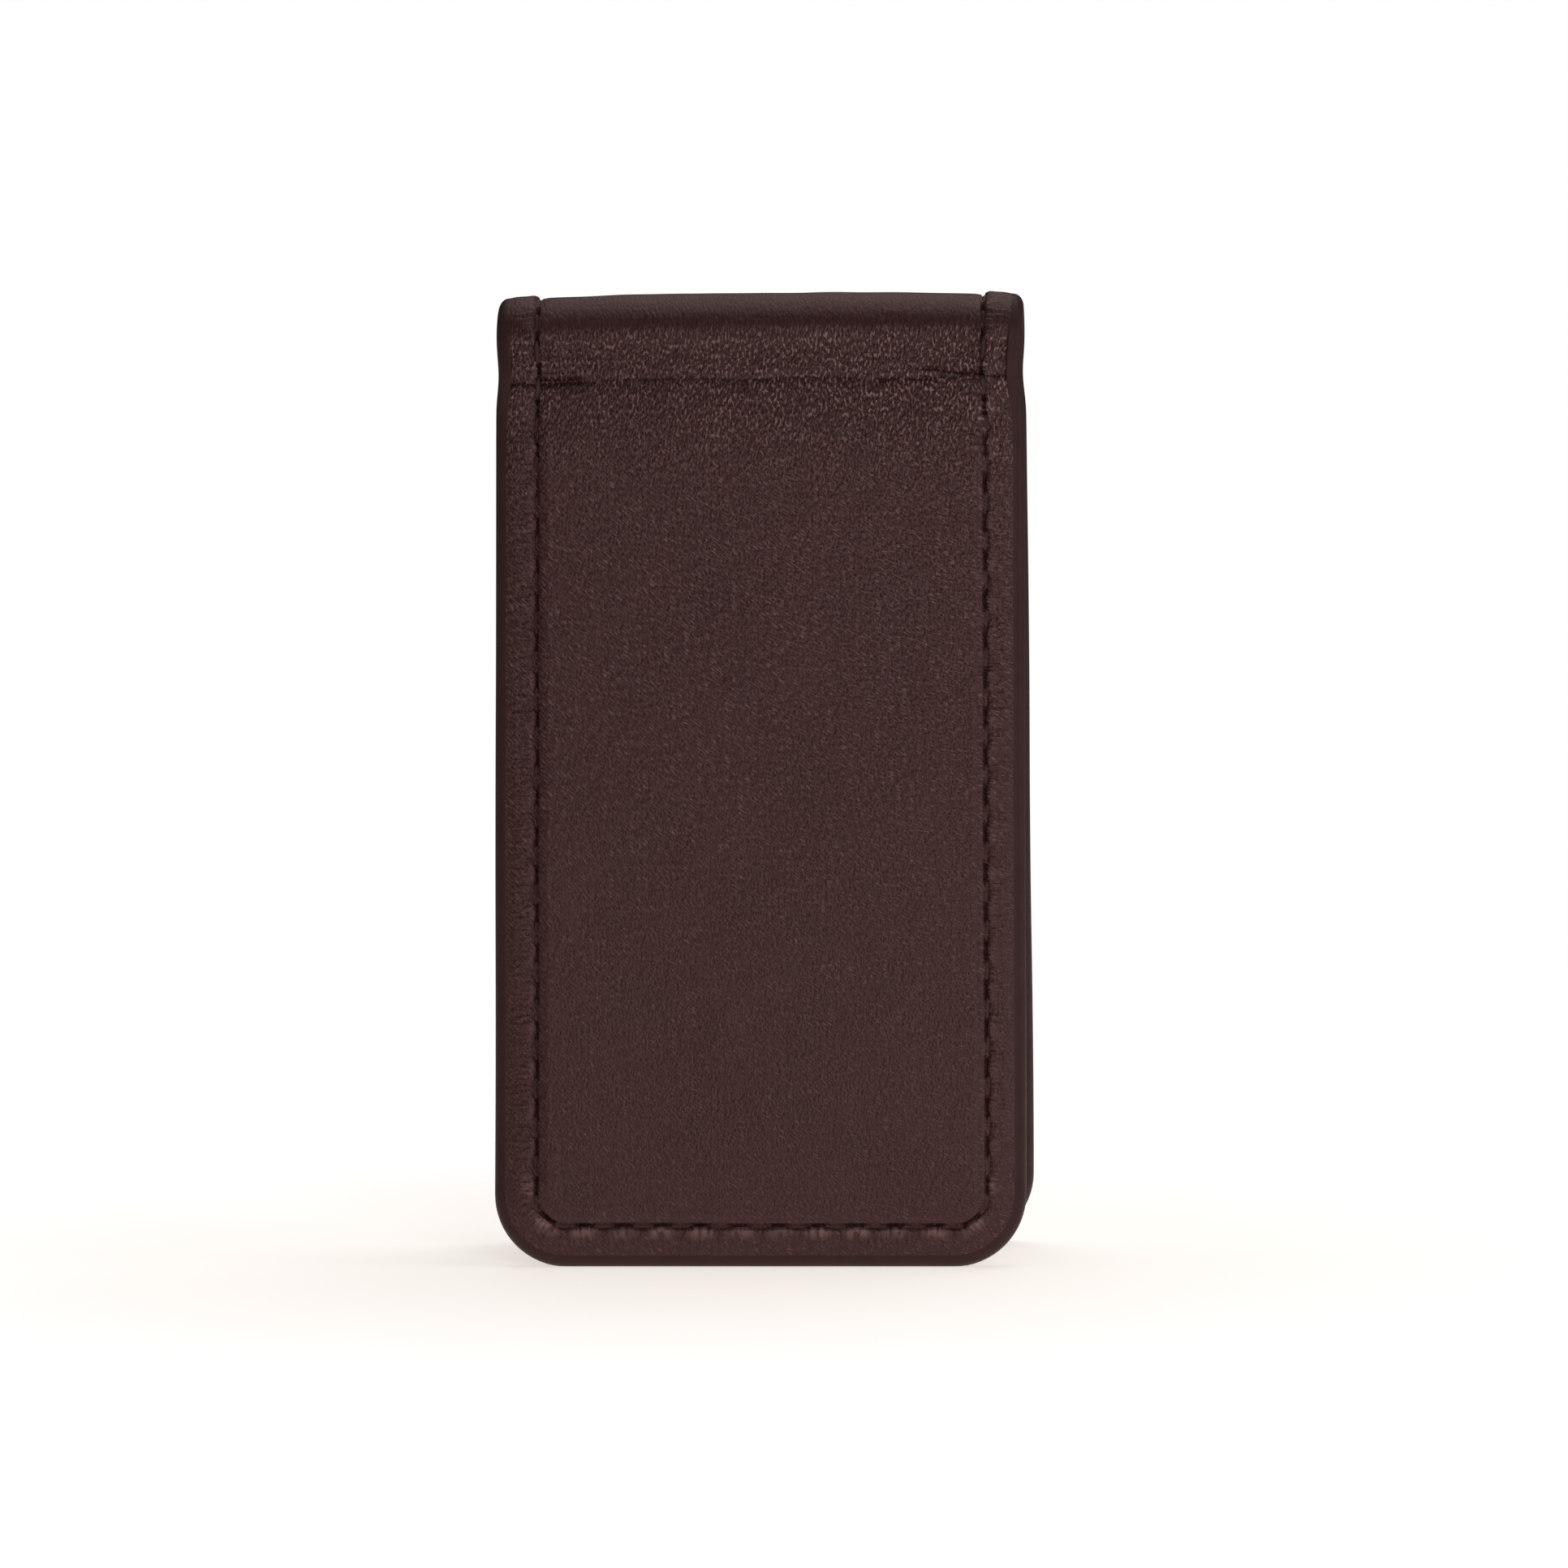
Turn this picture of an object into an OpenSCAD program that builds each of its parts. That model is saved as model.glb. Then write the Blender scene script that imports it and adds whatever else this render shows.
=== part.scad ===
// Folded leather money clip: two stiffened leaves, a soft fold over the top, magnets inside.
//
// Frame: +X across the width, +Y towards the back leaf, +Z up. The clip stands on the bottom
// edges of both leaves, and the origin is on the floor under its middle.
// Every leaf is drawn closed, as the back one, and leaf_at() then swings it open about its bend.
// "out" is the distance from the middle plane between the closed leaves.

/* [Leaves] */
// Width of the clip over its painted edges
clip_w = 41; // [34:0.5:50]
// Height of the closed clip, from its bottom edge to the top of the fold
clip_h = 75; // [60:1:90]
// Radius of the lower corners
corner_r = 5.6; // [4.6:0.1:9]
// Width of the thin border round the raised panel
border_w = 3.8; // [3.6:0.1:4.4]

/* [Leather] */
// Thickness of the outer leather
outer_t = 1.1; // [0.8:0.1:1.4]
// Thickness of the lining leather
lining_t = 0.8; // [0.6:0.1:1.1]
// Height of the lining's panel over its border
lining_rise = 0.5; // [0.3:0.1:0.6]

/* [Core] */
// Thickness of the stiffener board, and depth of the pocket that holds it
core_t = 1.3; // [1:0.1:1.8]
// Leather between the panel's edge and the pocket
core_wall = 0.6; // [0.4:0.1:1]
// Clearance round the edge of the board in its pocket
core_clear = 0.1; // [0.05:0.05:0.3]

/* [Magnets] */
// Diameter of each disc magnet
magnet_d = 14; // [8:0.5:18]
// Clearance round and over a magnet in its bore
magnet_clear = 0.1; // [0.05:0.05:0.2]
// Height of the lower magnet's centre over the bottom edge
magnet_z = 16; // [14:1:20]
// Distance from the lower magnet to the upper one
magnet_pitch = 24; // [20:1:28]

/* [Fold] */
// Distance from the top of the fold down to the crease at the top of the board
crease_drop = 6.3; // [5.5:0.1:8]
// Gap between the lining panels when the clip is closed
closed_gap = 0.4; // [0.2:0.1:0.8]
// Angle that each leaf leans out when the clip stands open
leaf_tilt = 5.5; // [4:0.5:9]
// Gap at the two lines where the fold bends
hinge_gap = 0.1; // [0.05:0.05:0.2]
// Depth of the flats that the painted edges stand on
foot_flat = 0.05; // [0.02:0.01:0.1]

/* [Seam] */
// Distance from the painted edge to the seam
seam_inset = 3.1; // [2.9:0.1:3.2]
// Distance from stitch to stitch
stitch_pitch = 3; // [2.5:0.1:3.5]
// Thread that is out of sight between two stitches
stitch_gap = 1.2; // [1:0.1:1.4]
// Diameter of the thread
thread_d = 0.45; // [0.35:0.05:0.5]
// Clearance between the thread and the floor of its groove
thread_clear = 0.03; // [0.02:0.01:0.05]
// Width of the groove that the seam lies in
groove_w = 0.65; // [0.65:0.05:0.8]
// Depth of the groove in the outer leather
outer_groove = 0.35; // [0.25:0.05:0.4]
// Depth of the groove in the lining
lining_groove = 0.25; // [0.15:0.05:0.3]

/* [Hidden] */
$fn = 64;
SIDES = ["back", "front"];
NODES = [
    "back_outer_leather", "back_lining", "back_stiffener", "back_upper_magnet",
    "back_lower_magnet", "back_needle_thread", "back_bobbin_thread", "back_edge_paint",
    "fold_outer_leather", "fold_lining", "fold_needle_thread", "fold_bobbin_thread",
    "fold_edge_paint",
    "front_outer_leather", "front_lining", "front_stiffener", "front_upper_magnet",
    "front_lower_magnet", "front_needle_thread", "front_bobbin_thread", "front_edge_paint"
];
node = "all";

LEATHER = [0.25, 0.17, 0.165];
LINING = [0.28, 0.19, 0.18];
PAINT = [0.20, 0.14, 0.135];
THREAD = [0.17, 0.11, 0.105];
BOARD = [0.55, 0.50, 0.43];
NICKEL = [0.72, 0.72, 0.73];

// The strip is outer leather on lining. Heights are measured from its middle, outwards.
strip_t = outer_t + lining_t;
edge_r = strip_t / 2;
outer_face = edge_r;
lining_face = -edge_r;
joint_face = lining_face + lining_t;
thread_r = thread_d / 2;

// Distances out from the middle plane, in the closed clip
panel_in = closed_gap / 2;
core_in = panel_in + lining_t;
core_out = core_in + core_t;
panel_out = core_out + outer_t;
border_mid = panel_in + lining_rise + edge_r;
fold_r = panel_out - edge_r;

// Under the crease the border bends out to meet the fold, along two equal arcs. Their angle is
// that of a 3-4-5 triangle, so that they end on exact values.
bend_out = fold_r - border_mid;
bend_a = atan2(3, 4);
bend_r = bend_out / (2 * (1 - cos(bend_a)));
bend_h = 2 * bend_r * sin(bend_a);

// Heights in the closed clip
fold_z = clip_h - panel_out;
crease_z = clip_h - crease_drop;
bend_z = crease_z - bend_h;

// The fold bends about one line over each leaf, on its outer surface, half way up its curve.
hinge_a = 45;
hinge_out = panel_out * cos(hinge_a);
hinge_z = fold_z + panel_out * sin(hinge_a);
gap_a = hinge_gap / panel_out * 180 / PI;

// Leaning out lifts the bottom edges, so the whole clip is lowered until the flats are at 0.
foot = [border_mid - hinge_out, edge_r - hinge_z];
lift = hinge_z + foot[0] * sin(leaf_tilt) + foot[1] * cos(leaf_tilt) - edge_r + foot_flat;

// How far a shape that cuts or trims another runs past it
past = 1;
groove_over = 0.2;
least_corner_r = 0.3;

// Lengths along the seam, from the middle of the bottom edge to the bend line
seam_x = clip_w / 2 - seam_inset;
seam_r = corner_r - seam_inset;
SEAM = [
    clip_w / 2 - corner_r,
    seam_r * PI / 2,
    bend_z - corner_r,
    bend_r * bend_a * PI / 180,
    bend_r * bend_a * PI / 180,
    fold_z - crease_z,
    panel_out * hinge_a * PI / 180
];
seam_end = seam_start(len(SEAM));
fold_stitches = 2;
stitch_reach = (stitch_pitch - stitch_gap) / 2;

function seam_start(part) = part == 0 ? 0 : seam_start(part - 1) + SEAM[part - 1];

// A point of a circle in the plane of out and height, at x
function on_arc(x, out, z, r, a) = [x, out + r * cos(a), z + r * sin(a)];

// The point of the seam at length s, raised by "up" from the middle of the strip
function seam_point(s, up) =
    let (t = [for (i = [0:len(SEAM) - 1]) s - seam_start(i)])
    t[1] < 0 ? [s, border_mid + up, seam_inset] :
    t[2] < 0 ? corner_point(t[1] / seam_r * 180 / PI, up) :
    t[3] < 0 ? [seam_x, border_mid + up, corner_r + t[2]] :
    t[4] < 0 ? on_arc(seam_x, border_mid + bend_r, bend_z, bend_r - up,
                      180 - t[3] / bend_r * 180 / PI) :
    t[5] < 0 ? on_arc(seam_x, fold_r - bend_r, crease_z, bend_r + up,
                      t[4] / bend_r * 180 / PI - bend_a) :
    t[6] < 0 ? [seam_x, fold_r + up, crease_z + t[5]] :
    on_arc(seam_x, 0, fold_z, fold_r + up, t[6] / panel_out * 180 / PI);

function corner_point(a, up) =
    [clip_w / 2 - corner_r + seam_r * sin(a), border_mid + up, corner_r - seam_r * cos(a)];

// ---- placing -----------------------------------------------------------------------------

// Puts a leaf that was drawn closed, as the back one, where it stands.
module leaf_at(side) {
    mirror([0, side == "front" ? 1 : 0, 0])
        translate([0, hinge_out, hinge_z - lift])
            rotate([leaf_tilt, 0, 0])
                translate([0, -hinge_out, -hinge_z]) children();
}

module fold_at() {
    translate([0, 0, -lift]) children();
}

// Turns a flat outline, drawn across and up, into a plate between two distances out.
module plate(from, to) {
    translate([0, to, 0]) rotate([90, 0, 0]) linear_extrude(to - from) children();
}

// ---- outlines and sweeps -----------------------------------------------------------------

// The leaf's outline with every edge moved in, from its bottom up to height "top"
module outline(inset, top) {
    r = max(corner_r - inset, least_corner_r);
    w = clip_w - 2 * inset;
    translate([-w / 2, inset + r]) square([w, top - inset - r]);
    translate([-w / 2 + r, inset]) square([w - 2 * r, 2 * r]);
    for (x = [-1, 1]) translate([x * (w / 2 - r), inset + r]) circle(r);
}

// Sweeps a section about a line across the clip, from angle a to angle b, so that its first face
// meets its neighbour exactly. The section is drawn across and outwards. "outwards" is 1 when it
// faces away from the line, and -1 towards it.
module arc_sweep(out, z, r, a, b, outwards = 1) {
    translate([0, out, z]) rotate([90, 0, 90]) rotate([0, 0, a])
        rotate_extrude(angle = b - a) translate([r, 0])
            rotate([0, 0, 90]) mirror([0, outwards > 0 ? 1 : 0]) children();
}

// Sweeps a section up the whole leaf: border, bend out to the fold, and half of the curve.
module leaf_sweep(from = 0) {
    translate([0, border_mid, from]) linear_extrude(bend_z - from) children();
    arc_sweep(border_mid + bend_r, bend_z, bend_r, 180, 180 - bend_a, -1) children();
    arc_sweep(fold_r - bend_r, crease_z, bend_r, 0, -bend_a) children();
    translate([0, fold_r, crease_z]) linear_extrude(fold_z - crease_z) children();
    arc_sweep(0, fold_z, fold_r, 0, hinge_a - gap_a / 2) children();
}

module fold_sweep() {
    arc_sweep(0, fold_z, fold_r, hinge_a + gap_a / 2, 180 - hinge_a - gap_a / 2) children();
}

// Section of one layer of the strip, between two heights over its middle
module layer(low, high) {
    w = clip_w - 2 * edge_r;
    translate([-w / 2, low]) square([w, high - low]);
}

// Section of the two side grooves, between two heights
module groove_pair(low, high) {
    for (x = [-1, 1]) translate([x * seam_x - groove_w / 2, low]) square([groove_w, high - low]);
}

// The whole groove of a leaf, between two heights over the middle of the strip
module leaf_groove(low, high) {
    plate(border_mid + low, border_mid + high) difference() {
        outline(seam_inset - groove_w / 2, bend_z);
        outline(seam_inset + groove_w / 2, bend_z + past);
    }
    leaf_sweep(bend_z - groove_over) groove_pair(low, high);
}

// All that lies inside the painted edges
module strip_area() {
    plate(-panel_out - past, panel_out + past) outline(edge_r, clip_h + past);
}

module core_pocket() {
    plate(core_in, core_out) outline(border_w + core_wall, crease_z);
}

// ---- leather -----------------------------------------------------------------------------

// The lining before its pocket and groove are cut: the strip, the raised panel, what fills the
// space behind the bend, and a ledge that closes the pocket over the top of the board
module lining_body() {
    ledge_z = crease_z + lining_t;
    intersection() {
        leaf_sweep() layer(lining_face, joint_face);
        strip_area();
    }
    plate(panel_in, border_mid + joint_face) outline(border_w, ledge_z);
    plate(panel_in, fold_r + lining_face) intersection() {
        outline(border_w, ledge_z);
        translate([-clip_w, crease_z - bend_h / 2]) square([2 * clip_w, bend_h / 2]);
    }
    plate(panel_in, fold_r + joint_face) intersection() {
        outline(border_w, ledge_z);
        translate([-clip_w, crease_z]) square([2 * clip_w, lining_t]);
    }
}

module leaf_lining() {
    color(LINING) difference() {
        lining_body();
        core_pocket();
        leaf_groove(lining_face - groove_over, lining_face + lining_groove);
    }
}

module leaf_outer_leather() {
    color(LEATHER) difference() {
        union() {
            intersection() {
                leaf_sweep() layer(joint_face, outer_face);
                strip_area();
            }
            plate(border_mid + joint_face, panel_out) outline(border_w, crease_z);
        }
        lining_body();
        core_pocket();
        leaf_groove(outer_face - outer_groove, outer_face + groove_over);
    }
}

module fold_outer_leather() {
    color(LEATHER) difference() {
        fold_sweep() layer(joint_face, outer_face);
        fold_sweep() groove_pair(outer_face - outer_groove, outer_face + groove_over);
    }
}

module fold_lining() {
    color(LINING) difference() {
        fold_sweep() layer(lining_face, joint_face);
        fold_sweep() groove_pair(lining_face - groove_over, lining_face + lining_groove);
    }
}

// ---- core --------------------------------------------------------------------------------

module leaf_stiffener() {
    color(BOARD) difference() {
        plate(core_in, core_out)
            outline(border_w + core_wall + core_clear, crease_z - core_clear);
        for (i = [0, 1]) translate([0, core_in - past, magnet_z + i * magnet_pitch])
            rotate([-90, 0, 0]) cylinder(h = core_t + 2 * past, d = magnet_d + 2 * magnet_clear);
    }
}

// i is 0 for the lower magnet and 1 for the upper one.
module leaf_magnet(i) {
    color(NICKEL) translate([0, core_in + magnet_clear / 2, magnet_z + i * magnet_pitch])
        rotate([-90, 0, 0]) cylinder(h = core_t - magnet_clear, d = magnet_d);
}

// ---- seam --------------------------------------------------------------------------------

module stitch(p, q) {
    d = q - p;
    translate(p) rotate([0, acos(d[2] / norm(d)), atan2(d[1], d[0])])
        cylinder(h = norm(d), d = thread_d, $fn = 24);
}

// Height of a thread that lies in its groove, on the outer side or on the lining
function thread_height(outer) = outer
    ? outer_face - outer_groove + thread_clear + thread_r
    : lining_face + lining_groove - thread_clear - thread_r;

// How far a straight stitch moves over to suit a seam that curves away from it by "sag": all of
// the way out of the leather, none of the way in, and half of the way across its groove
function stitch_shift(sag, away) =
    let (rise = sag * away)
    max(rise, 0) * away + (sag - rise * away) / 2;

// The stitch about length s of the seam, between its two ends
module seam_stitch(s, outer) {
    up = thread_height(outer);
    middle = seam_point(s, up);
    p = seam_point(s - stitch_reach, up);
    q = seam_point(s + stitch_reach, up);
    away = seam_point(s, up + (outer ? 1 : -1)) - middle;
    shift = stitch_shift(middle - (p + q) / 2, away);
    stitch(p + shift, q + shift);
}

module leaf_thread(outer) {
    up = thread_height(outer);
    last = floor((seam_end - stitch_pitch / 2) / stitch_pitch);
    color(THREAD) {
        for (k = [1:last], m = [0, 1]) mirror([m, 0, 0]) seam_stitch(k * stitch_pitch, outer);
        translate([0, border_mid + up, seam_inset]) stitch([-stitch_reach, 0, 0], [stitch_reach, 0, 0]);
    }
}

module fold_thread(outer) {
    step = (180 - 2 * hinge_a) / fold_stitches;
    half = step * stitch_reach / stitch_pitch;
    color(THREAD) for (x = [-seam_x, seam_x], i = [0:fold_stitches - 1]) {
        a = hinge_a + (i + 0.5) * step;
        arc_sweep(0, fold_z, fold_r, a - half, a + half)
            translate([x, thread_height(outer)]) circle(thread_r);
    }
}

// ---- painted edge ------------------------------------------------------------------------

// Sections of the round beads on both side edges
module bead_pair() {
    for (x = [-1, 1]) translate([x * (clip_w / 2 - edge_r), 0]) circle(edge_r);
}

module leaf_edge_paint() {
    r = corner_r - edge_r;
    color(PAINT) difference() {
        union() {
            leaf_sweep(corner_r) bead_pair();
            for (m = [0, 1]) mirror([m, 0, 0])
                translate([clip_w / 2 - corner_r, border_mid, corner_r]) rotate([90, 0, 0])
                    rotate([0, 0, -90]) rotate_extrude(angle = 90)
                        translate([r, 0]) circle(edge_r);
            translate([-clip_w / 2 + corner_r, border_mid, edge_r]) rotate([0, 90, 0])
                cylinder(h = clip_w - 2 * corner_r, r = edge_r);
        }
        strip_area();
    }
}

module fold_edge_paint() {
    color(PAINT) difference() {
        fold_sweep() bead_pair();
        strip_area();
    }
}

// Cuts what stands on the floor flat.
module on_floor() {
    difference() {
        children();
        translate([-clip_w, -clip_h, -past]) cube([2 * clip_w, 2 * clip_h, past]);
    }
}

// ---- the nodes ---------------------------------------------------------------------------

function wanted(name) = node == "all" || node == name;

for (side = SIDES) {
    if (wanted(str(side, "_outer_leather"))) leaf_at(side) leaf_outer_leather();
    if (wanted(str(side, "_lining"))) leaf_at(side) leaf_lining();
    if (wanted(str(side, "_stiffener"))) leaf_at(side) leaf_stiffener();
    if (wanted(str(side, "_upper_magnet"))) leaf_at(side) leaf_magnet(1);
    if (wanted(str(side, "_lower_magnet"))) leaf_at(side) leaf_magnet(0);
    if (wanted(str(side, "_needle_thread"))) leaf_at(side) leaf_thread(true);
    if (wanted(str(side, "_bobbin_thread"))) leaf_at(side) leaf_thread(false);
    if (wanted(str(side, "_edge_paint"))) on_floor() leaf_at(side) leaf_edge_paint();
}
if (wanted("fold_outer_leather")) fold_at() fold_outer_leather();
if (wanted("fold_lining")) fold_at() fold_lining();
if (wanted("fold_needle_thread")) fold_at() fold_thread(true);
if (wanted("fold_bobbin_thread")) fold_at() fold_thread(false);
if (wanted("fold_edge_paint")) fold_at() fold_edge_paint();
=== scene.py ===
"""Looks of a folded leather money clip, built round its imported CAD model.

Lengths in this file are millimetres, and turn into metres where a mesh is made. A leaf's own
places are x across it, t up it from its bottom edge and on round the fold, and "out", the
distance from the middle plane of the closed clip. "run" is t on the front leaf, and goes on
over the top of the fold and down the back leaf.
"""

import math

import bpy
import numpy as np
from mathutils import Matrix, Vector


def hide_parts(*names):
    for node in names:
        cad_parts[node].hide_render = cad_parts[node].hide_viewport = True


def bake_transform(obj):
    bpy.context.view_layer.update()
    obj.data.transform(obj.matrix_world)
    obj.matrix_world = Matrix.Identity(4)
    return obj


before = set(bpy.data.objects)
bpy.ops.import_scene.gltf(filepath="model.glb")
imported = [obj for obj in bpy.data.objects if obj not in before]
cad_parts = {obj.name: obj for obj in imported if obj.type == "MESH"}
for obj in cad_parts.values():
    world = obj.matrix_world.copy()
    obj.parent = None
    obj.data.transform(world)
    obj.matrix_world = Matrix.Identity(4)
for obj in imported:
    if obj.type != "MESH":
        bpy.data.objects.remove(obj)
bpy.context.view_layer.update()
MM = 0.001

# ---- sizes of the CAD model --------------------------------------------------------------

CLIP_W = 41.0
CORNER_R = 5.6
STRIP_T = 1.9  # the two leathers together
EDGE_R = STRIP_T / 2
PANEL_IN, CORE_IN, CORE_OUT, PANEL_OUT = 0.2, 1.0, 2.3, 3.4  # "out" of each face of the panel
BORDER_MID, FOLD_R = 1.65, 2.45  # "out" of the strip's middle, at the border and at the fold
BORDER_W = 3.8
BEND_Z, CREASE_Z, FOLD_Z = 66.3, 68.7, 71.6  # t where the border bends, the crease and the fold
BEND_LENGTH = 2.574  # along the border's bend, from BEND_Z to CREASE_Z
HINGE_OUT, HINGE_Z = 2.404163, 74.004163
LIFT = 0.3140435  # the open clip's fold stands this much lower than the closed one's
TILT = math.radians(5.5)  # of each leaf, as the clip stands open
SEAM_INSET = 3.1
STITCH_PITCH = 3.0
PITCHED_STITCHES = 29  # on half a leaf, from the middle of the bottom edge
FOLD_STITCHES = [86.42, 88.84]  # along the seam, on half of the fold

APEX = FOLD_Z + FOLD_R * math.pi / 2  # t at the top of the fold
CORNER_X = CLIP_W / 2 - CORNER_R

# (out, z) where a leaf starts to bend into the fold, and where the fold has taken over
BLEND_START = (PANEL_OUT * 0.758, FOLD_Z - LIFT - 0.663)
BLEND_END = (0.0, FOLD_Z - LIFT + 1.5)

# The seam: length along it from the middle of the bottom edge, against t up a side
SEAM_CORNER = (CORNER_R - SEAM_INSET) * math.pi / 2
SIDE_T = [CORNER_R, BEND_Z, CREASE_Z, FOLD_Z, APEX]
SIDE_S = np.cumsum([CORNER_X + SEAM_CORNER, BEND_Z - CORNER_R, BEND_LENGTH, FOLD_Z - CREASE_Z,
                    PANEL_OUT * math.pi / 2])
STITCHES = np.array([k * STITCH_PITCH for k in range(PITCHED_STITCHES)] + FOLD_STITCHES)

# Seeds of what is uneven
OUTLINE_SEED, SEAM_SEED = 5, 11
CREASE_SEEDS = (21, 22, 23)
OUTER_SEEDS = (31, 32)
LINING_SEED = 41
PAINT_SEEDS = {"front": 51, "back": 52}
NEEDLE_SEEDS = {"front": 60, "back": 61}
BOBBIN_SEEDS = {"front": 70, "back": 71}


# ---- numbers -----------------------------------------------------------------------------

def smooth(low, high, value):
    """0 below low, 1 above high, and a smooth step between."""
    u = np.clip((value - low) / (high - low), 0, 1)
    return u * u * (3 - 2 * u)


def bump(value, width):
    """A smooth hump, 1 in its middle."""
    return np.exp(-((value / width) ** 2))


def noise(u, v, seed):
    """Smooth random heights from -1 to 1, one hill or hollow to each unit of u and v."""
    size = 64
    table = np.random.RandomState(seed).rand(size, size) * 2 - 1
    iu, iv = np.floor(u).astype(int), np.floor(v).astype(int)
    fu, fv = u - iu, v - iv
    fu, fv = (f * f * f * (f * (6 * f - 15) + 10) for f in (fu, fv))
    near, far = (
        table[(iu + k) % size, iv % size] * (1 - fv)
        + table[(iu + k) % size, (iv + 1) % size] * fv
        for k in (0, 1)
    )
    return near * (1 - fu) + far * fu


def steps(*runs):
    """One rising list of places from runs of (start, end, step)."""
    places = [runs[0][0]]
    for start, end, step in runs:
        count = max(1, round((end - start) / step))
        places += [start + (end - start) * (k + 1) / count for k in range(count)]
    return np.array(places)


# ---- from a leaf's own places to the frame -----------------------------------------------

# The clip is a little narrower at the crease and over the fold, and its outline wanders
WAIST, WAIST_HALF_H = 0.009, 1.9
TOP_SHRINK = 0.005
OUTLINE_WANDER = 0.06

NUDGE = {"front": -1e-9, "back": 1e-9}  # keeps the top of the fold on its own leaf's side


def height_up(run):
    """t at a place on the run."""
    return APEX - np.abs(run - APEX)


def run_on(side, t):
    """The run at t on a leaf."""
    return t if side == "front" else 2 * APEX - t


def border_rise(t):
    """How far the border has bent out to meet the fold, from 0 to 1."""
    return smooth(BEND_Z - 1.6, CREASE_Z + 1.0, t)


def position(x, run, out):
    """Places in the frame, in millimetres, of the clip as it stands open."""
    t = height_up(run)
    x = x * (1 - WAIST * bump(t - CREASE_Z, WAIST_HALF_H) - TOP_SHRINK * smooth(66, 70, t))
    x = x + OUTLINE_WANDER * noise(run / 17, x / 60, OUTLINE_SEED)
    turn = np.maximum(t - FOLD_Z, 0) / FOLD_R
    y = out * np.cos(turn)
    z = np.minimum(t, FOLD_Z) + out * np.sin(turn) - LIFT
    (y0, z0), (y1, z1) = BLEND_START, BLEND_END
    along = ((y - y0) * (y1 - y0) + (z - z0) * (z1 - z0)) / ((y1 - y0) ** 2 + (z1 - z0) ** 2)
    angle = TILT * (1 - smooth(0, 1, along))
    dy, dz = y - HINGE_OUT, z - (HINGE_Z - LIFT)
    y = HINGE_OUT + dy * np.cos(angle) - dz * np.sin(angle)
    z = HINGE_Z - LIFT + dy * np.sin(angle) + dz * np.cos(angle)
    return np.stack([x, np.where(run < APEX, -y, y), np.maximum(z, 0)], -1)


def near_edge(x, t):
    """How far in from the edge each place is, the length along the seam beside it, and how much
    that edge faces sideways: -1 on the left, 0 at the bottom and 1 on the right."""
    side = CLIP_W / 2 - np.abs(x)
    dx, dt = CORNER_R - side, CORNER_R - t
    corner = (dx > 0) & (dt > 0)
    angle = np.arctan2(np.maximum(dx, 0), np.maximum(dt, 1e-9))
    inset = np.where(corner, CORNER_R - np.hypot(dx, dt), np.minimum(side, t))
    up_side = np.interp(t, SIDE_T, SIDE_S)
    along = np.where(corner, CORNER_X + SEAM_CORNER * angle / (math.pi / 2),
                     np.where(side < t, up_side, np.abs(x)))
    facing = np.where(corner, np.sin(angle), np.where(side < t, 1.0, 0.0)) * np.sign(x)
    return inset, along, facing


def seam_line(x, run, facing):
    """How far in from the edge the seam runs. The front's lies a little right, and wanders."""
    off = 0.16 * (1 - smooth(55, 95, run))
    return SEAM_INSET - off * facing + 0.05 * noise(x / 8 + 3, run / 8, SEAM_SEED)


def to_stitch(along):
    """Distance along the seam to the middle of the nearest stitch."""
    middle = (STITCHES[1:] + STITCHES[:-1]) / 2
    return np.abs(along - STITCHES[np.searchsorted(middle, along)])


# ---- the faces of the leather ------------------------------------------------------------

ROLL_FROM, ROLL_POWER = 0.9, 0.8  # the border's roll starts this far in, and how full it is
SHOULDER_POWER = 2.4  # how round the panel's shoulder is
OUTER_SHOULDER_W, LINING_SHOULDER_W = 1.15, 1.6
OUTER_ROLL, LINING_ROLL = 0.17, 0.07
OUTER_GROOVE, LINING_GROOVE = 0.42, 0.3  # the slits of the seam, where they are deepest
HOLE_OFF, HOLE_R = 0.88, 0.14  # the hole at a stitch's end: from the stitch's middle, and size
CROWN_HALF_W = 17.4
HOLLOW_T = 70.7  # the deepest place of the hollow between the crease and the fold
LINE_W = 0.14  # a fine crease line


def crease_depth(x, run):
    """The soft hollow under the fold and the crease in it, which has a broad crumple at its left
    end and two fine lines at its right."""
    t = height_up(run)
    hollow = np.where(t < HOLLOW_T, bump(t - HOLLOW_T, 3.0), bump(t - HOLLOW_T, 1.0))
    slow, quick, gaps = (noise(x / wide, run / 90, seed)
                         for wide, seed in zip((5, 1.4, 1.9), CREASE_SEEDS))
    sway = 0.32 * slow + 0.12 * quick
    broken = 0.55 + 0.45 * gaps
    above = t - (CREASE_Z - 0.1 + sway)
    soft = (0.10 + 0.05 * broken) * bump(above, 0.5)
    crumple = smooth(-12.2, -15, x)
    left = crumple * (0.56 * bump(above + 0.1, 0.33 + 0.2 * sway)
                      + 0.13 * bump(above - 0.75 - 0.5 * sway, 0.13))
    faint = 0.07 * broken * bump(above, 0.12) * (1 - crumple)
    lower = smooth(7.5, 10.5, x) * smooth(16.6, 14.8, x)
    upper = smooth(11.8, 13.6, x)
    right = (0.32 * lower * broken * bump(above + 0.12, LINE_W)
             + 0.30 * upper * bump(above - 0.62 + 0.15 * (x - 13.5), LINE_W))
    return 0.24 * hollow + soft + left + faint + right


def shoulder_rise(inset, start, width):
    """How far the panel has risen past its border, from 0 to 1."""
    across = np.clip((inset - start) / width, 0, 1)
    return 1 - (1 - across) ** SHOULDER_POWER


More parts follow.
